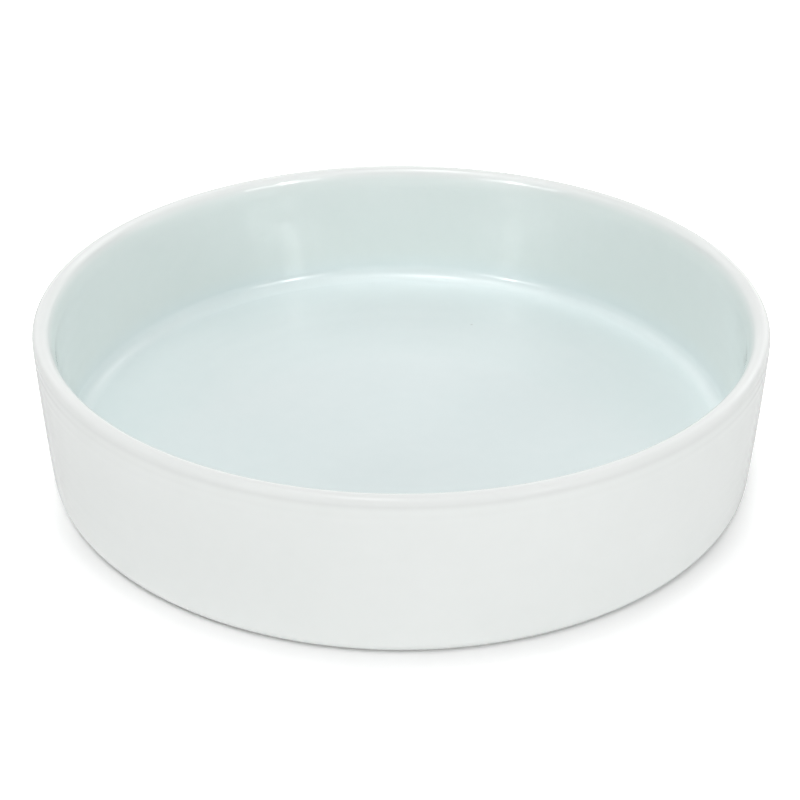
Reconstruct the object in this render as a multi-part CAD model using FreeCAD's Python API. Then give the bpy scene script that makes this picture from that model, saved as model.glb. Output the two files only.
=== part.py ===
import FreeCAD, Part
import math
import os

# Evaporating dish, round, straight-walled and flat-bottomed, in hard porcelain.
# Millimetres, +Z up, origin on the axis at the plane the foot rests on.
#
# One clay body carries three separate coats of glaze: one poured inside, one on
# the outside wall, one in the recess under the base. The foot ring between the
# last two is bare porcelain.
#
# Every piece is a closed section in the (r, z) half-plane turned about Z.
# Points are (r, z) pairs, and angles are degrees from +r towards +z.

# ---- driving dimensions -----------------------------------------------------
RIM_R = 90.0            # largest outside radius, over the glaze
HEIGHT = 40.0           # foot to crest of the lip
GLAZE_T = 0.25          # thickness of every glaze coat

WALL_BARREL_R = 650.0   # the outside wall is barrelled very slightly
WALL_WIDEST_Z = 36.0    # height at which the outside is widest

LIP_OUT_R = 1.8         # rounding of the lip, outside
LIP_IN_R = 2.3          # rounding of the lip, inside, next to the crest
LIP_TURN_DEG = 25.0     # lean from vertical where that rounding meets the flare
LIP_FLARE_R = 12.0      # long, gentle flare from the lip into the inside wall
WALL_DRAFT_DEG = 0.3    # lean of the inside wall, wider at the top

COVE_R = 4.0            # rounding between inside wall and floor
FLOOR_Z = 5.0           # height of the glazed floor at the foot of the cove
CROWN_R = 50.0          # the floor rises very slightly to a ring at this radius
CROWN_Z = 5.27          # height of that ring
DIP_R = 16.0            # inside it, the floor falls to a flat of this radius
DIP_Z = 4.72            # height of the flat in the middle

HEEL_BODY_R = 2.95      # rounding under the outside wall, on the clay
GLAZE_STOP_DEG = -54.0  # direction from the heel centre where the full coat ends
EDGE_MID_RISE = 0.72    # middle of the coat's rounded edge, as a share of GLAZE_T
EDGE_MID_TURN = 0.70    # and as a share of the edge's turn round the heel

FOOT_RING_W = 5.0       # width of the bare foot ring
FOOT_RECESS = 0.75      # depth of the recess inside the foot ring
BASE_GLAZE_GAP = 0.8    # bare margin between recess step and base glaze


# ---- drawing and turning ----------------------------------------------------
def vec(point):
    return FreeCAD.Vector(point[0], 0.0, point[1])


def at(centre, radius, deg):
    """Point at a distance and direction from centre."""
    angle = math.radians(deg)
    return (centre[0] + radius * math.cos(angle), centre[1] + radius * math.sin(angle))


def line(start, end):
    return Part.LineSegment(vec(start), vec(end)).toShape()


def arc_through(start, middle, end):
    return Part.Arc(vec(start), vec(middle), vec(end)).toShape()


def arc(centre, radius, deg0, deg1):
    middle_deg = deg0 + (deg1 - deg0) * 0.5
    return arc_through(*[at(centre, radius, deg) for deg in (deg0, middle_deg, deg1)])


def turn(edges, name):
    """Turns a closed section about Z and writes the solid."""
    face = Part.Face(Part.Wire(Part.__sortEdges__(edges)))
    solid = face.revolve(FreeCAD.Vector(0, 0, 0), FreeCAD.Vector(0, 0, 1), 360)
    # the direction of the sorted wire can turn the solid inside out
    if solid.Volume < 0:
        solid.reverse()
    if not solid.isValid():
        raise RuntimeError(name + " is not valid")
    solid.exportStep(os.path.join("parts", name + ".step"))


# ---- outside of the glazed surface ------------------------------------------
wall_c = (RIM_R - WALL_BARREL_R, WALL_WIDEST_Z)


def touching_wall(radius, z):
    """Centre at height z of a circle touching the outside wall from within,
    and the direction of the point where they touch."""
    run = math.sqrt((WALL_BARREL_R - radius) ** 2 - (z - wall_c[1]) ** 2)
    return (wall_c[0] + run, z), math.degrees(math.atan2(z - wall_c[1], run))


heel_r = HEEL_BODY_R + GLAZE_T
heel_c, heel_deg = touching_wall(heel_r, HEEL_BODY_R)
lip_c, lip_deg = touching_wall(LIP_OUT_R, HEIGHT - LIP_OUT_R)


def outer_run(depth, stop_deg):
    """Outside surface, depth below the glaze, from the crest to stop_deg round the heel."""
    return [
        arc(lip_c, LIP_OUT_R - depth, 90.0, lip_deg),
        arc(wall_c, WALL_BARREL_R - depth, lip_deg, heel_deg),
        arc(heel_c, heel_r - depth, heel_deg, stop_deg),
    ]


# ---- inside of the glazed surface -------------------------------------------
bead_c = (lip_c[0], HEIGHT - LIP_IN_R)
turn_deg = 180.0 - LIP_TURN_DEG
flare_c = at(bead_c, LIP_IN_R - LIP_FLARE_R, turn_deg)
wall_deg = 180.0 - WALL_DRAFT_DEG      # the inside wall's normal, into the bowl
wall_top = at(flare_c, LIP_FLARE_R, wall_deg)

# the cove touches the inside wall and ends level, on the floor
draft = math.radians(WALL_DRAFT_DEG)
cove_z = FLOOR_Z + COVE_R
wall_foot_z = cove_z - COVE_R * math.sin(draft)
wall_foot_r = wall_top[0] - (wall_top[1] - wall_foot_z) * math.tan(draft)
cove_c = (wall_foot_r - COVE_R * math.cos(draft), cove_z)


def swell(run, climb):
    """Radius and turn of the two equal arcs that make a climb, level at both ends."""
    radius = (run * run + climb * climb) / (4.0 * climb)
    return radius, math.degrees(math.asin(0.5 * run / radius))


rise_r, rise_deg = swell(cove_c[0] - CROWN_R, CROWN_Z - FLOOR_Z)
fall_r, fall_deg = swell(CROWN_R - DIP_R, CROWN_Z - DIP_Z)


def inner_run(depth):
    """Inside surface, depth below the glaze, from the crest to the axis."""
    return [
        arc(bead_c, LIP_IN_R - depth, 90.0, turn_deg),
        arc(flare_c, LIP_FLARE_R - depth, turn_deg, wall_deg),
        line(
            at(flare_c, LIP_FLARE_R - depth, wall_deg),
            at(cove_c, COVE_R + depth, wall_deg - 180.0),
        ),
        arc(cove_c, COVE_R + depth, wall_deg - 180.0, -90.0),
        arc((cove_c[0], FLOOR_Z + rise_r), rise_r + depth, -90.0, -90.0 - rise_deg),
        arc((CROWN_R, CROWN_Z - rise_r), rise_r - depth, 90.0 - rise_deg, 90.0),
        arc((CROWN_R, CROWN_Z - fall_r), fall_r - depth, 90.0, 90.0 + fall_deg),
        arc((DIP_R, DIP_Z + fall_r), fall_r + depth, -90.0 + fall_deg, -90.0),
        line((DIP_R, DIP_Z - depth), (0.0, DIP_Z - depth)),
    ]


# ---- shared by neighbouring pieces ------------------------------------------
clay_floor = (0.0, DIP_Z - GLAZE_T)
foot_in_r = heel_c[0] - FOOT_RING_W
recess_r = foot_in_r - FOOT_RECESS     # the recess step runs in as far as it rises


def crest_joint():
    """Edge at the crest of the lip where the inner and outer glazes meet."""
    return line((lip_c[0], HEIGHT - GLAZE_T), (lip_c[0], HEIGHT))


# ---- pieces -----------------------------------------------------------------
def porcelain_body():
    """Clay, with an S-shaped step from the foot ring up to the recess."""
    step_r = 0.5 * FOOT_RECESS
    recess_mid = (0.0, FOOT_RECESS)
    underside = [
        line(clay_floor, recess_mid),
        line(recess_mid, (recess_r, FOOT_RECESS)),
        arc((recess_r, FOOT_RECESS - step_r), step_r, 90.0, 0.0),
        arc((foot_in_r, step_r), step_r, 180.0, 270.0),
        line((foot_in_r, 0.0), (heel_c[0], 0.0)),
    ]
    turn(outer_run(GLAZE_T, -90.0) + inner_run(GLAZE_T) + underside, "porcelain_body")


def inner_glaze():
    """Coat inside the bowl, from the crest to the axis."""
    axis_edge = line((0.0, DIP_Z), clay_floor)
    turn(inner_run(0.0) + [axis_edge] + inner_run(GLAZE_T) + [crest_joint()], "inner_glaze")


def outer_glaze():
    """Coat on the outside wall, with a rounded lower edge above the foot."""
    edge_turn = math.degrees(GLAZE_T / HEEL_BODY_R)
    end_deg = GLAZE_STOP_DEG - edge_turn
    lower_edge = arc_through(
        at(heel_c, heel_r, GLAZE_STOP_DEG),
        at(heel_c, HEEL_BODY_R + EDGE_MID_RISE * GLAZE_T,
           GLAZE_STOP_DEG - EDGE_MID_TURN * edge_turn),
        at(heel_c, HEEL_BODY_R, end_deg),
    )
    turn(
        outer_run(0.0, GLAZE_STOP_DEG) + [lower_edge]
        + outer_run(GLAZE_T, end_deg) + [crest_joint()],
        "outer_glaze",
    )


def base_glaze():
    """Disc of glaze in the recess, rounded at its lower rim."""
    disc_r = recess_r - BASE_GLAZE_GAP
    flat_r = disc_r - GLAZE_T
    under_z = FOOT_RECESS - GLAZE_T
    turn(
        [
            line((0.0, FOOT_RECESS), (disc_r, FOOT_RECESS)),
            arc((flat_r, FOOT_RECESS), GLAZE_T, 0.0, -90.0),
            line((flat_r, under_z), (0.0, under_z)),
            line((0.0, under_z), (0.0, FOOT_RECESS)),
        ],
        "base_glaze",
    )


os.makedirs("parts", exist_ok=True)
porcelain_body()
inner_glaze()
outer_glaze()
base_glaze()
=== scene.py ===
# Evaporating dish: a low round porcelain dish with a rolled lip and a foot ring, turned
# about +Z. The origin is on the axis at the plane of the foot. The clay body and its three
# glaze coats (inside, outside, base) are turned from one section, with slight unevenness.
# The section is in millimetres; materials, studio and finished meshes are in metres.

import math

import bmesh
import bpy
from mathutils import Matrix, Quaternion, Vector


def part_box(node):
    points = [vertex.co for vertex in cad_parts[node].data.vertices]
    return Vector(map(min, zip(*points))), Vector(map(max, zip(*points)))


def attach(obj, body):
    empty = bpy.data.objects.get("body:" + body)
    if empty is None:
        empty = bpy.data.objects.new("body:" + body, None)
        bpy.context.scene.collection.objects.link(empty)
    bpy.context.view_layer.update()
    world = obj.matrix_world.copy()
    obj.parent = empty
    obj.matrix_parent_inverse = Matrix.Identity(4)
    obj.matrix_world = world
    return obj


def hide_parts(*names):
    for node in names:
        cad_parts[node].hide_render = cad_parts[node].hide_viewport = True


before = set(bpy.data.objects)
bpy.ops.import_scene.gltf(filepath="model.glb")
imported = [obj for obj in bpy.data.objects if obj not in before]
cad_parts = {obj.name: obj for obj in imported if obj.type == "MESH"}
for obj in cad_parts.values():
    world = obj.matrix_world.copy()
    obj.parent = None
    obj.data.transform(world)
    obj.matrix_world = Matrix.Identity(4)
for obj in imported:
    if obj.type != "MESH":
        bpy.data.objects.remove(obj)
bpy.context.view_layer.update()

# =============================================================================
# Sizes of the section, mm and degrees
# =============================================================================
MM = 0.001

outer_low, outer_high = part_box("outer_glaze")
base_low, base_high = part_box("base_glaze")
RIM_R = 0.5 * (outer_high[0] - outer_low[0]) / MM
HEIGHT = outer_high[2] / MM
GLAZE_T = (base_high[2] - base_low[2]) / MM

WALL_BARREL_R = 650.0       # large arc of the outside wall
WALL_WIDEST_Z = 36.0
LIP_OUT_R = 1.8
LIP_IN_R = 2.3
LIP_TURN_DEG = 25.0         # how far the inside of the lip turns below level
LIP_FLARE_R = 12.0          # hollow between lip and inside wall
WALL_DRAFT_DEG = 0.3
COVE_R = 4.0                # hollow between inside wall and floor
FLOOR_Z = 5.0
CROWN_R = 50.0              # the floor swells to a crown at this radius
CROWN_Z = 5.27
DIP_R = 16.0                # and is flat and lowest inside this one
DIP_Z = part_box("inner_glaze")[0][2] / MM + GLAZE_T
HEEL_BODY_R = 2.95          # heel of the bare clay
GLAZE_STOP_DEG = 54.0       # where the outer glaze ends, below level round the heel
FOOT_RING_W = 5.0
FOOT_RECESS = base_high[2] / MM
BASE_GLAZE_GAP = 0.8

TURN_STEPS = 480            # steps round the axis
FINE, COARSE = 3, 1         # factors on the step counts of a section
CREASE_DEG = 32.0           # edges sharper than this are shaded as creases


# =============================================================================
# Circles of the glazed surface, as (radius from the axis, height)
# =============================================================================
def polar(centre, radius, deg):
    angle = math.radians(deg)
    return (centre[0] + radius * math.cos(angle), centre[1] + radius * math.sin(angle))


def inside_barrel(radius, z):
    """Centre of a circle that touches the barrel arc from inside, and the angle it touches at."""
    reach = math.sqrt((WALL_BARREL_R - radius) ** 2 - (z - barrel_c[1]) ** 2)
    centre = (barrel_c[0] + reach, z)
    return centre, math.degrees(math.atan2(z - barrel_c[1], centre[0] - barrel_c[0]))


def swell(run, rise):
    """Radius and turn of two equal arcs that climb rise over run, level at both ends."""
    radius = (run * run + rise * rise) / (4.0 * rise)
    return radius, math.degrees(math.asin(0.5 * run / radius))


# outside
barrel_c = (RIM_R - WALL_BARREL_R, WALL_WIDEST_Z)
heel_r = HEEL_BODY_R + GLAZE_T
heel_c, heel_deg = inside_barrel(heel_r, HEEL_BODY_R)
lip_c, lip_deg = inside_barrel(LIP_OUT_R, HEIGHT - LIP_OUT_R)

# inside: lip, flare, straight wall, cove and floor
bead_c = (lip_c[0], HEIGHT - LIP_IN_R)
bead_deg = 180.0 - LIP_TURN_DEG
flare_c = polar(bead_c, LIP_IN_R - LIP_FLARE_R, bead_deg)
draft = math.radians(WALL_DRAFT_DEG)
wall_normal = (-math.cos(draft), math.sin(draft))
wall_deg = math.degrees(math.atan2(wall_normal[1], wall_normal[0]))
wall_top = (flare_c[0] + LIP_FLARE_R * wall_normal[0], flare_c[1] + LIP_FLARE_R * wall_normal[1])
cove_z = FLOOR_Z + COVE_R
foot_z = cove_z - COVE_R * wall_normal[1]
wall_foot = (wall_top[0] - (wall_top[1] - foot_z) * math.tan(draft), foot_z)
cove_c = (wall_foot[0] + COVE_R * wall_normal[0], cove_z)
rise_r, rise_deg = swell(cove_c[0] - CROWN_R, CROWN_Z - FLOOR_Z)
fall_r, fall_deg = swell(CROWN_R - DIP_R, CROWN_Z - DIP_Z)

# underside
foot_in = heel_c[0] - FOOT_RING_W
step_r = 0.5 * FOOT_RECESS
recess_r = foot_in - 2 * step_r
base_r = recess_r - BASE_GLAZE_GAP


# =============================================================================
# Sections: rows of (radius, z, normal radius, normal z)
# =============================================================================
def arc(centre, radius, start_deg, end_deg, steps, hollow=False):
    """Points along an arc; normals point away from its centre, or to it on a hollow."""
    side = -1.0 if hollow else 1.0
    points = []
    for i in range(steps + 1):
        angle = math.radians(start_deg + (end_deg - start_deg) * i / steps)
        c, s = math.cos(angle), math.sin(angle)
        points.append((centre[0] + radius * c, centre[1] + radius * s, side * c, side * s))
    return points


def line(start, end, normal, steps):
    return [(start[0] + (end[0] - start[0]) * i / steps,
             start[1] + (end[1] - start[1]) * i / steps, *normal) for i in range(steps + 1)]


def join(*runs):
    """Runs end to end, without the doubled points where they meet."""
    points = []
    for run in runs:
        for p in run:
            if points and math.hypot(p[0] - points[-1][0], p[1] - points[-1][1]) < 1e-6:
                continue
            points.append(p)
    return points


def inner_section(depth, detail):
    """Crest of the lip to the axis, depth below the inside surface."""
    top, foot = ((p[0] - depth * wall_normal[0], p[1] - depth * wall_normal[1])
                 for p in (wall_top, wall_foot))
    return join(
        arc(bead_c, LIP_IN_R - depth, 90.0, bead_deg, 6 * detail),
        arc(flare_c, LIP_FLARE_R - depth, bead_deg, wall_deg, 5 * detail),
        line(top, foot, wall_normal, 6 * detail),
        arc(cove_c, COVE_R + depth, wall_deg - 180.0, -90.0, 14 * detail, hollow=True),
        arc((cove_c[0], FLOOR_Z + rise_r), rise_r + depth, -90.0, -90.0 - rise_deg,
            4 * detail, hollow=True),
        arc((CROWN_R, CROWN_Z - rise_r), rise_r - depth, 90.0 - rise_deg, 90.0, 4 * detail),
        arc((CROWN_R, CROWN_Z - fall_r), fall_r - depth, 90.0, 90.0 + fall_deg, 4 * detail),
        arc((DIP_R, DIP_Z + fall_r), fall_r + depth, -90.0 + fall_deg, -90.0,
            4 * detail, hollow=True),
        line((DIP_R, DIP_Z - depth), (0.0, DIP_Z - depth), (0.0, 1.0), 4 * detail),
    )


def outer_section(depth, stop_deg, detail):
    """Crest of the lip to stop_deg round the heel, depth below the outside surface."""
    return join(
        arc(lip_c, LIP_OUT_R - depth, 90.0, lip_deg, 6 * detail),
        arc(barrel_c, WALL_BARREL_R - depth, lip_deg, heel_deg, 24 * detail),
        arc(heel_c, heel_r - depth, heel_deg, stop_deg, 5 * detail),
    )


def backward(section):
    """The bare (radius, z) points of a section in reverse, to close another."""
    return [(p[0], p[1]) for p in reversed(section)]


# =============================================================================
# Unevenness of a real pot, mm
# =============================================================================
# waves round the axis: size, count in a full turn, phase
WARP_RADIAL = ((0.10, 2, 0.7), (0.05, 3, -1.1), (0.03, 5, 2.3))
WARP_UPWARD = ((0.05, 2, -0.4), (0.035, 3, 1.9), (0.02, 7, 0.5))

# turning rings: depth, radians per mm, phase; then the sway of the phase round the axis
# as size, count in a full turn, phase
OUTER_RINGS = (
    (0.0020, 2.05, 0.0, 0.5, 1, 1.0),
    (0.0016, 3.37, 1.3, 0.4, 2, 0.0),
    (0.0012, 0.83, 0.6, 0.0, 0, 0.0),
)
FLOOR_RINGS = ((0.020, 0.52, 0.0, 0.4, 1, 0.0), (0.012, 0.93, 1.0, 0.0, 0, 0.0))
INNER_WALL_RINGS = ((0.010, 1.3, 0.0, 0.5, 1, 0.0), (0.010, 2.3, 2.0, 0.0, 0, 0.0))


def fade(x, start, end):
    """Smooth step from 0 at start to 1 at end."""
    x = min(1.0, max(0.0, (x - start) / (end - start)))
    return x * x * (3.0 - 2.0 * x)


def band(x, start, full, waning, end):
    """Fades in from start to full and out from waning to end."""
    return fade(x, start, full) * (1.0 - fade(x, waning, end))


def bell(x, height, middle, width):
    return height * math.exp(-((x - middle) / width) ** 2)


def waves(turn, table):
    return sum(size * math.cos(count * turn + phase) for size, count, phase in table)


def rings(along, turn, table):
    return sum(depth * math.sin(along * pitch + phase + sway * math.sin(count * turn + shift))
               for depth, pitch, phase, sway, count, shift in table)


def warp(r, z, turn):
    """Whole-wall warp from drying and firing, shared by clay and glaze: radial, upward."""
    share = fade(z, start=4.0, end=40.0) * fade(r, start=60.0, end=84.0)
    return share * waves(turn, WARP_RADIAL), share * waves(turn, WARP_UPWARD)


def relief_out(r, z, normal_r, normal_z, turn):
    """Glaze relief on the outside, along the surface normal."""
    relief = band(z, start=1.5, full=6.0, waning=36.5, end=39.0) * rings(z, turn, OUTER_RINGS)
    if normal_r <= 0.5:
        return relief
    # a raised roll below the lip, with a groove under it
    sway = 0.15 * math.sin(2 * turn + 0.3)
    relief += bell(z, height=0.034, middle=36.3 + sway, width=0.55)
    relief -= bell(z, height=0.030, middle=35.2 + sway, width=0.7)
    # one faint line left by the turning tool, on part of the way round
    reach = fade(math.cos(turn - math.radians(222.0)), start=0.82, end=0.97)
    return relief - reach * bell(z, height=0.016, middle=32.7, width=0.5)


def relief_in(r, z, normal_r, normal_z, turn):
    """Glaze relief on the inside, along the surface normal."""
    if r < 76.0:
        return (band(r, start=2.0, full=12.0, waning=70.0, end=76.0)
                * rings(r, turn, FLOOR_RINGS))
    if z < 12.0:
        # a facet in the cove, just under the wall, where the glaze has pooled
        tilt = math.degrees(math.atan2(normal_z, -normal_r))
        return bell(tilt, height=0.030, middle=26.0, width=8.0) if tilt < 60.0 else 0.0
    return (band(z, start=13.0, full=17.0, waning=33.0, end=37.0)
            * rings(z, turn, INNER_WALL_RINGS))


# =============================================================================
# Turned meshes
# =============================================================================
def link(name, data):
    obj = bpy.data.objects.new(name, data)
    bpy.context.scene.collection.objects.link(obj)
    return obj


def turn_points(outline, relief):
    """Vertices in metres, and one row of their indices for each point of the outline."""
    verts, rows = [], []
    for r, z, normal_r, normal_z in outline:
        if r < 1e-6:
            rows.append([len(verts)])
            verts.append((0.0, 0.0, z * MM))
            continue
        row = []
        for j in range(TURN_STEPS):
            turn = 2.0 * math.pi * j / TURN_STEPS
            out, up = warp(r, z, turn)
            lift = relief(r, z, normal_r, normal_z, turn) if relief else 0.0
            radius = r + out + lift * normal_r
            height = z + up + lift * normal_z
            row.append(len(verts))
            verts.append((radius * math.cos(turn) * MM, radius * math.sin(turn) * MM,
                          height * MM))
        rows.append(row)
    return verts, rows


def skin(rows):
    """Faces between each row and the next, round to the first; a row of one is on the axis."""
    faces = []
    for a, b in zip(rows, rows[1:] + rows[:1]):
        if len(a) == 1 and len(b) == 1:
            continue
        for j in range(TURN_STEPS):
            k = (j + 1) % TURN_STEPS
            if len(a) == 1:
                faces.append((a[0], b[k], b[j]))
            elif len(b) == 1:
                faces.append((a[j], a[k], b[0]))
            else:
                faces.append((a[j], a[k], b[k], b[j]))
    return faces


def turned(name, section, closing, relief=None, crest=False):
    """Turns a section and the (radius, z) run that closes it into one closed mesh.

    crest: the first row is the crest of the lip, where the next coat carries the
    surface on, so its normals point straight up and no crease shows there.
    """
    verts, rows = turn_points(section + [(r, z, 0.0, 0.0) for r, z in closing], relief)
    mesh = bpy.data.meshes.new(name)
    mesh.from_pydata(verts, [], skin(rows))
    bm = bmesh.new()
    bm.from_mesh(mesh)
    bmesh.ops.recalc_face_normals(bm, faces=bm.faces)
    if bm.calc_volume(signed=True) < 0:
        bmesh.ops.reverse_faces(bm, faces=bm.faces)
    for face in bm.faces:
        face.smooth = True
    for edge in bm.edges:
        edge.smooth = edge.calc_face_angle(0.0) < math.radians(CREASE_DEG)
    bm.to_mesh(mesh)
    bm.free()
    if crest:
        top = set(rows[0])
        normals = []
        for face in mesh.polygons:
            up = face.normal.z > 0.7
            for v in face.vertices:
                # a zero normal leaves the corner as it is
                normals.append((0.0, 0.0, 1.0 if up and v in top else 0.0))
        mesh.normals_split_custom_set(normals)
    return link(name, mesh)


def make_inner_glaze():
    return turned("inner_glaze_coat", inner_section(0.0, FINE),
                  backward(inner_section(GLAZE_T, COARSE)), relief_in, crest=True)


def make_outer_glaze():
    stop_deg = -GLAZE_STOP_DEG
    edge_deg = math.degrees(GLAZE_T / HEEL_BODY_R)
    edge_steps = 6
    edge = []       # rounded end of the coat, down to the clay
    for i in range(1, edge_steps):
        angle = i / edge_steps * math.pi / 2
        edge.append(polar(heel_c, HEEL_BODY_R + GLAZE_T * math.cos(angle) ** 0.8,
                          stop_deg - edge_deg * math.sin(angle)))
    under = outer_section(GLAZE_T, stop_deg - edge_deg, COARSE)
    return turned("outer_glaze_coat", outer_section(0.0, stop_deg, FINE),
                  edge + backward(under), relief_out, crest=True)


def make_body():
    section = join(
        outer_section(GLAZE_T, -90.0, COARSE),
        # foot ring, then an S-shaped step up to the recess
        line((heel_c[0], 0.0), (foot_in, 0.0), (0, -1), 12)
        + arc((foot_in, step_r), step_r, 270.0, 180.0, 6)
        + arc((recess_r, FOOT_RECESS - step_r), step_r, 0.0, 90.0, 6)
        + line((recess_r, FOOT_RECESS), (0.0, FOOT_RECESS), (0, -1), 24),
    )
    # the last point inside is the crest, which the section starts from
    return turned("porcelain_clay", section, backward(inner_section(GLAZE_T, COARSE))[:-1])


def make_base_glaze():
    flat_r = base_r - GLAZE_T
    flat_z = FOOT_RECESS - GLAZE_T
    section = join(line((0.0, flat_z), (flat_r, flat_z), (0, -1), 40),
                   arc((flat_r, FOOT_RECESS), GLAZE_T, 270.0, 360.0, 6))
    return turned("base_glaze_coat", section,
                  [(base_r * k / 12.0, FOOT_RECESS) for k in range(11, -1, -1)])


inner_glaze = make_inner_glaze()
outer_glaze = make_outer_glaze()
body = make_body()
base_glaze = make_base_glaze()

for piece, node, slot in ((inner_glaze, "inner_glaze", "glaze"),
                          (outer_glaze, "outer_glaze", "glaze"),
                          (base_glaze, "base_glaze", "glaze"),
                          (body, "porcelain_body", "bare_porcelain")):
    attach(piece, "root")
    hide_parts(node)


# =============================================================================
# Materials, metres
# =============================================================================
class Graph:
    """Builds a node graph, starting from an empty tree."""

    def __init__(self, tree):
        self.tree = tree
        tree.nodes.clear()

    def put(self, socket, value):
        """Links a socket, or sets a plain value."""
        if isinstance(value, bpy.types.NodeSocket):
            self.tree.links.new(value, socket)
        else:
            socket.default_value = value

    def add(self, kind, inputs=None, **props):
        node = self.tree.nodes.new(kind)
        for name, value in props.items():
            setattr(node, name, value)
        for key, value in (inputs or {}).items():
            self.put(node.inputs[key], value)
        return node

    def math(self, op, a, b=0.0):
        return self.add("ShaderNodeMath", {0: a, 1: b}, operation=op).outputs[0]

    def ramp(self, x, start, end, before=0.0, after=1.0):
        """Smooth step from before, at x = start, to after, at x = end."""
        return self.add("ShaderNodeMapRange", {
            "Value": x, "From Min": start, "From Max": end, "To Min": before, "To Max": after,
        }, interpolation_type="SMOOTHSTEP").outputs["Result"]

    def noise(self, vector, scale, detail, rough, distort=0.0):
        return self.add("ShaderNodeTexNoise", {
            "Vector": vector, "Scale": scale, "Detail": detail,
            "Roughness": rough, "Distortion": distort,
        }).outputs["Fac"]

    def centred(self, noise, amount):
        """Noise about zero, scaled by amount."""
        return self.math("MULTIPLY", self.math("SUBTRACT", noise, 0.5), amount)

    def mix(self, factor, a, b):
        """Mixes two colours, each a socket or an RGB triple."""
        a, b = (v if isinstance(v, bpy.types.NodeSocket) else (*v, 1.0) for v in (a, b))
        return self.add("ShaderNodeMix", {0: factor, 6: a, 7: b}, data_type="RGBA").outputs[2]

    def bump(self, height, strength, distance, **props):
        return self.add("ShaderNodeBump", {
            "Height": height, "Strength": strength, "Distance": distance}, **props)

    def position(self):
        return self.add("ShaderNodeTexCoord").outputs["Object"]

    def split(self, vector):
        return self.add("ShaderNodeSeparateXYZ", {0: vector}).outputs

    def place(self):
        """Object position, its radius from the axis and its height."""
        position = self.position()
        x, y, z = self.split(position)
        flat = self.add("ShaderNodeCombineXYZ", {0: x, 1: y}).outputs[0]
        length = self.add("ShaderNodeVectorMath", {0: flat}, operation="LENGTH")
        return position, length.outputs["Value"], z


def new_material(name, shader_kind):
    """A material with one shader on its output, its graph and the shader."""
    mat = bpy.data.materials.new(name)
    mat.use_nodes = True
    graph = Graph(mat.node_tree)
    shader = graph.add(shader_kind)
    graph.add("ShaderNodeOutputMaterial", {0: shader.outputs[0]})
    return mat, graph, shader


OUTSIDE = (0.928, 0.958, 0.942)     # thin clear glaze over white clay
INSIDE = (0.797, 0.861, 0.842)      # the coat inside is thicker, with a cool green cast
POOLED = (0.782, 0.860, 0.864)      # and thickest in the cove and on the floor
LIP = (0.885, 0.908, 0.896)         # it runs thin over the lip
# painted shade, mixed a little into the front of the lip
LIP_PAINTED_SHADE = (0.20, 0.20, 0.20)
IRON = (0.30, 0.27, 0.22)
LONE_SPECK = (0.0205, 0.0521, 0.0052)   # on the floor of the dish

CLAY = (0.78, 0.765, 0.725)
CLAY_BLOTCH = (0.70, 0.675, 0.625)
CLAY_GRAIN = (0.50, 0.47, 0.42)
RUB_MARK = (0.42, 0.42, 0.42)


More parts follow.
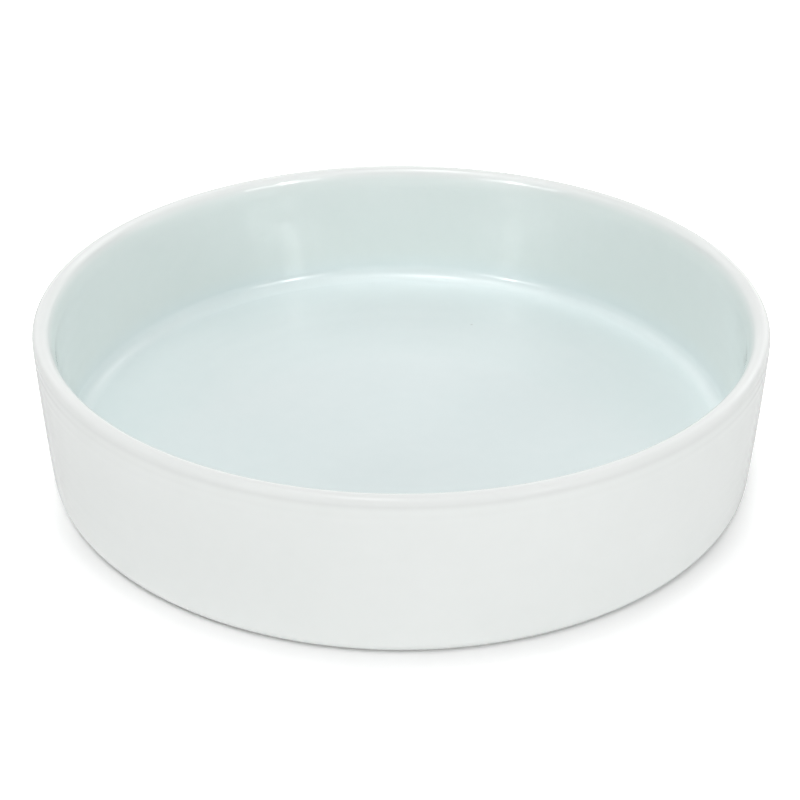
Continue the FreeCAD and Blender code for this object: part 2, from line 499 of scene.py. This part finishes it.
def glaze_material(name, wall, pool, lone_speck=None):
    mat, graph, shader = new_material(name, "ShaderNodeBsdfPrincipled")
    position, radius, z = graph.place()

    # thickness of the coat shows as depth of colour
    on_lip = graph.math("MULTIPLY", graph.ramp(z, start=0.0366, end=0.0392),
                        graph.ramp(radius, start=0.080, end=0.084))
    pooled = graph.math("MULTIPLY", graph.ramp(z, start=0.0150, end=0.0065),
                        graph.ramp(radius, start=0.0862, end=0.0850))
    colour = graph.mix(on_lip, graph.mix(pooled, wall, pool), LIP)

    # painted shade: the front of the lip, on the camera side, is darkened a little, and is less
    # glossy there
    y = graph.split(position)[1]
    painted_shade_and_dull = graph.math("MULTIPLY", graph.ramp(y, start=-0.030, end=-0.065),
                      graph.ramp(z, start=0.0372, end=0.0384))
    painted_shade_and_dull = graph.math("MULTIPLY", painted_shade_and_dull,
                      graph.ramp(radius, start=0.0876, end=0.0884, after=0.07))
    colour = graph.mix(painted_shade_and_dull, colour, LIP_PAINTED_SHADE)

    # slow cloudiness and finer mottling
    slow = graph.noise(position, scale=21.0, detail=3.0, rough=0.55, distort=0.3)
    fine = graph.noise(position, scale=260.0, detail=2.0, rough=0.5)
    cloud = graph.math("ADD", graph.centred(slow, amount=0.050),
                       graph.centred(fine, amount=0.016))
    paler = graph.math("MULTIPLY", cloud, -6.0)     # lighter clouds are less saturated
    colour = graph.add("ShaderNodeHueSaturation", {
        "Value": graph.math("ADD", cloud, 1.0),
        "Saturation": graph.math("ADD", paler, 1.0),
        "Color": colour,
    }).outputs[0]

    # a few iron specks burnt into the glaze: the middles of one cell in five
    cells = graph.add("ShaderNodeTexVoronoi", {"Scale": 34.0, "Vector": position}, feature="F1")
    chance = graph.add("ShaderNodeSeparateColor", {0: cells.outputs["Color"]}).outputs[0]
    keep = graph.math("GREATER_THAN", chance, 0.80)
    dot = graph.ramp(cells.outputs["Distance"], start=0.012, end=0.005)
    speck = graph.math("MULTIPLY", dot, keep)
    colour = graph.mix(graph.math("MULTIPLY", speck, 0.55), colour, IRON)
    if lone_speck:
        away = graph.add("ShaderNodeVectorMath", {0: position, 1: lone_speck},
                         operation="DISTANCE").outputs["Value"]
        spot = graph.ramp(away, start=0.00052, end=0.00018, after=0.24)
        colour = graph.mix(spot, colour, IRON)
    graph.put(shader.inputs["Base Color"], colour)

    # gloss: even, with faint wiped and washed patches
    wiped = graph.noise(position, scale=48.0, detail=4.0, rough=0.6, distort=0.6)
    graph.put(shader.inputs["Roughness"],
              graph.ramp(wiped, start=0.30, end=0.75, before=0.060, after=0.115))
    graph.put(shader.inputs["Specular IOR Level"],
              graph.math("SUBTRACT", 0.5, graph.math("MULTIPLY", painted_shade_and_dull, 4.0)))
    shader.inputs["IOR"].default_value = 1.52

    # the glaze never lies quite flat, and is pitted at the specks
    uneven = graph.noise(position, scale=210.0, detail=2.0, rough=0.45)
    peel = graph.bump(uneven, strength=1.0, distance=0.000011)
    pits = graph.bump(speck, strength=0.6, distance=0.000060, invert=True)
    graph.put(pits.inputs["Normal"], peel.outputs[0])
    graph.put(shader.inputs["Normal"], pits.outputs[0])
    return mat


def bare_material(name):
    mat, graph, shader = new_material(name, "ShaderNodeBsdfPrincipled")
    position = graph.position()
    z = graph.split(position)[2]
    grain = graph.noise(position, scale=2600.0, detail=3.0, rough=0.6)
    blotch = graph.noise(position, scale=90.0, detail=4.0, rough=0.6, distort=0.4)
    colour = graph.mix(graph.ramp(blotch, start=0.35, end=0.70), CLAY, CLAY_BLOTCH)
    colour = graph.mix(graph.ramp(grain, start=0.58, end=0.75, after=0.35), colour, CLAY_GRAIN)
    # grey rub marks on the face that the dish stands on
    rub = graph.noise(position, scale=420.0, detail=5.0, rough=0.7, distort=1.2)
    marks = graph.math("MULTIPLY", graph.ramp(rub, start=0.52, end=0.70, after=0.45),
                       graph.ramp(z, start=0.0003, end=0.0))
    graph.put(shader.inputs["Base Color"], graph.mix(marks, colour, RUB_MARK))
    graph.put(shader.inputs["Roughness"],
              graph.ramp(grain, start=0.3, end=0.7, before=0.62, after=0.90))
    shader.inputs["IOR"].default_value = 1.50
    rough = graph.bump(grain, strength=1.0, distance=0.000045)
    graph.put(shader.inputs["Normal"], rough.outputs[0])
    return mat


glaze_in = glaze_material("glaze_inside", INSIDE, POOLED, LONE_SPECK)
glaze_out = glaze_material("glaze_outside", OUTSIDE, OUTSIDE)
bare = bare_material("bare_porcelain")
for piece, mat in ((inner_glaze, glaze_in), (outer_glaze, glaze_out),
                   (base_glaze, glaze_out), (body, bare)):
    piece.data.materials.append(mat)

# =============================================================================
# Studio: white table, soft light; the camera is on the -Y side
# =============================================================================
TABLE_ALBEDO = 0.78         # what the table gives back to the dish
TABLE_TO_CAMERA = 1.12      # the picture is exposed so that the table is white
TABLE_PAINTED_LIGHT = 1.30         # painted light: whiter still beside and behind the dish, where its shade falls
BACKDROP = 1.02             # what the camera sees of the world

# Bearing 0 is behind the camera, 90 is +X; all angles are in degrees.
# Rings of soft patches, evenly spaced round the dish
LIGHT_ROWS = (
    # elevation, first bearing, spread, strength of each patch in turn
    (4, 0, 27, (0.83, 0.69, 1.29, 1.33, 0.00, 1.33, 0.97, 0.80, 0.00, 0.57, 0.00, 1.48)),
    (20, 15, 27, (0.00, 0.00, 0.00, 0.22, 0.31, 0.54, 0.58, 0.58, 0.33, 0.00, 0.00, 0.00)),
    (37, 0, 27, (0.00, 0.93, 0.14, 0.52, 1.52, 0.37, 0.73, 0.91, 0.48, 0.83)),
    (54, 22.5, 27, (0.65, 0.79, 0.00, 0.97, 0.00, 0.00, 0.37, 0.47)),
    (71, 0, 22, (2.48, 0.14, 0.00, 0.00, 0.00, 0.27, 1.50, 2.14)),
)
LIGHT_SPOTS = (
    # bearing, elevation, even core, spread and strength of single smaller patches
    (-135, 50, 0.0, 13, 0.18),
    (-23, 74, 3.2, 8, 5.90),
)
SOFTBOXES = (
    # bearing, elevation, width, height and roll, as seen from the dish, and radiance
    (42.0, 25.5, 6.0, 7.5, 0.0, 9.0),
    (-43.0, 25.5, 6.0, 7.5, 0.0, 7.4),
    (43.5, 24.0, 28.0, 5.0, -6.0, 4.85),
    (-44.5, 23.5, 27.0, 5.0, 6.0, 4.50),
    (180.0, 41.0, 70.0, 12.0, 0.0, 0.50),
)
BOX_AWAY = 1.3


def table_material():
    mat, graph, shader = new_material("white_table", "ShaderNodeBsdfDiffuse")
    x, y, _ = graph.split(graph.position())
    radius = graph.place()[1]
    # painted light: the table as seen is whiter beside and behind the dish, where its shade falls
    beside = graph.ramp(y, start=-0.056, end=-0.014,
                        before=TABLE_TO_CAMERA, after=TABLE_TO_CAMERA * TABLE_PAINTED_LIGHT)
    # painted shadow round the foot: a soft darkening, lighter right under the heel, a little
    # deeper to the left
    close = graph.math("ADD",
                       graph.ramp(radius, start=0.0867, end=0.0882, before=1.30, after=0.785),
                       graph.ramp(radius, start=0.0892, end=0.0970, after=0.15))
    close = graph.math("ADD", close, graph.ramp(radius, start=0.0960, end=0.1180, after=0.07))
    painted_shadow_lean = graph.math("MULTIPLY",
                      graph.ramp(x, start=-0.050, end=0.050, before=-0.008, after=0.012),
                      graph.ramp(radius, start=0.0980, end=0.1250, before=1.0, after=0.0))
    # the table as the camera sees it, with its painted light and painted shadow
    white = graph.math("MULTIPLY", beside, graph.math("ADD", close, painted_shadow_lean))
    seen = graph.add("ShaderNodeLightPath").outputs["Is Camera Ray"]
    graph.put(shader.inputs["Color"], graph.mix(seen, (TABLE_ALBEDO,) * 3, white))
    return mat


def make_table():
    bm = bmesh.new()
    bmesh.ops.create_grid(bm, x_segments=24, y_segments=24, size=3.0)
    mesh = bpy.data.meshes.new("table")
    bm.to_mesh(mesh)
    bm.free()
    table = link("table", mesh)
    mesh.materials.append(table_material())


def toward(bearing, elevation):
    """Unit vector from the dish."""
    b, e = math.radians(bearing), math.radians(elevation)
    return Vector((math.sin(b) * math.cos(e), -math.cos(b) * math.cos(e), math.sin(e)))


def make_world():
    """Soft patches that light the dish, and a plain white for the camera."""
    world = bpy.data.worlds.new("studio")
    bpy.context.scene.world = world
    world.use_nodes = True
    graph = Graph(world.node_tree)
    generated = graph.add("ShaderNodeTexCoord").outputs["Generated"]
    way = graph.add("ShaderNodeVectorMath", {0: generated}, operation="NORMALIZE").outputs[0]
    patches = [(first + 360.0 * i / len(row), elevation, 0.0, spread, strength)
               for elevation, first, spread, row in LIGHT_ROWS
               for i, strength in enumerate(row) if strength > 0.0]
    total = None
    for bearing, elevation, core, spread, strength in patches + list(LIGHT_SPOTS):
        dot = graph.add("ShaderNodeVectorMath", {0: way, 1: toward(bearing, elevation)},
                        operation="DOT_PRODUCT")
        away = graph.math("ARCCOSINE", dot.outputs["Value"])
        patch = graph.ramp(away, start=math.radians(core), end=math.radians(spread),
                           before=strength, after=0.0)
        total = patch if total is None else graph.math("ADD", total, patch)
    sky, plain = (graph.add("ShaderNodeBackground", {"Color": (1, 1, 1, 1), "Strength": s})
                  for s in (total, BACKDROP))
    seen = graph.add("ShaderNodeLightPath").outputs["Is Camera Ray"]
    both = graph.add("ShaderNodeMixShader", {0: seen, 1: sky.outputs[0], 2: plain.outputs[0]})
    graph.add("ShaderNodeOutputWorld", {0: both.outputs[0]})
    world.cycles.sampling_method = "MANUAL"
    world.cycles.sample_map_resolution = 512


def make_softbox(name, bearing, elevation, width, height, roll, radiance):
    away = toward(bearing, elevation)
    lamp = bpy.data.lights.new(name, "AREA")
    lamp.shape = "RECTANGLE"
    lamp.size = 2.0 * BOX_AWAY * math.tan(math.radians(0.5 * width))
    lamp.size_y = 2.0 * BOX_AWAY * math.tan(math.radians(0.5 * height))
    lamp.energy = radiance * math.pi * lamp.size * lamp.size_y
    box = link(name, lamp)
    box.location = away * BOX_AWAY
    box.rotation_mode = "QUATERNION"
    rolled = Quaternion((0.0, 0.0, 1.0), math.radians(roll))
    box.rotation_quaternion = away.to_track_quat("Z", "Y") @ rolled
    box.visible_camera = False


def make_camera():
    camera = link("camera", bpy.data.cameras.new("camera"))
    camera.data.sensor_width = 36.0
    camera.data.lens = 67.0
    camera.data.clip_start = 0.01
    camera.location = (0.0, -0.33288, 0.20480)
    camera.rotation_euler = (math.radians(59.6953), 0.0, math.radians(0.04705))
    bpy.context.scene.camera = camera


make_table()
make_world()
for i, softbox in enumerate(SOFTBOXES):
    make_softbox("softbox_%d" % i, *softbox)
make_camera()

# the bright ring along the cove is light that glances off the glazed wall, so it is kept sharp
bpy.context.scene.cycles.blur_glossy = 0.0
bpy.context.scene.view_settings.view_transform = "Standard"
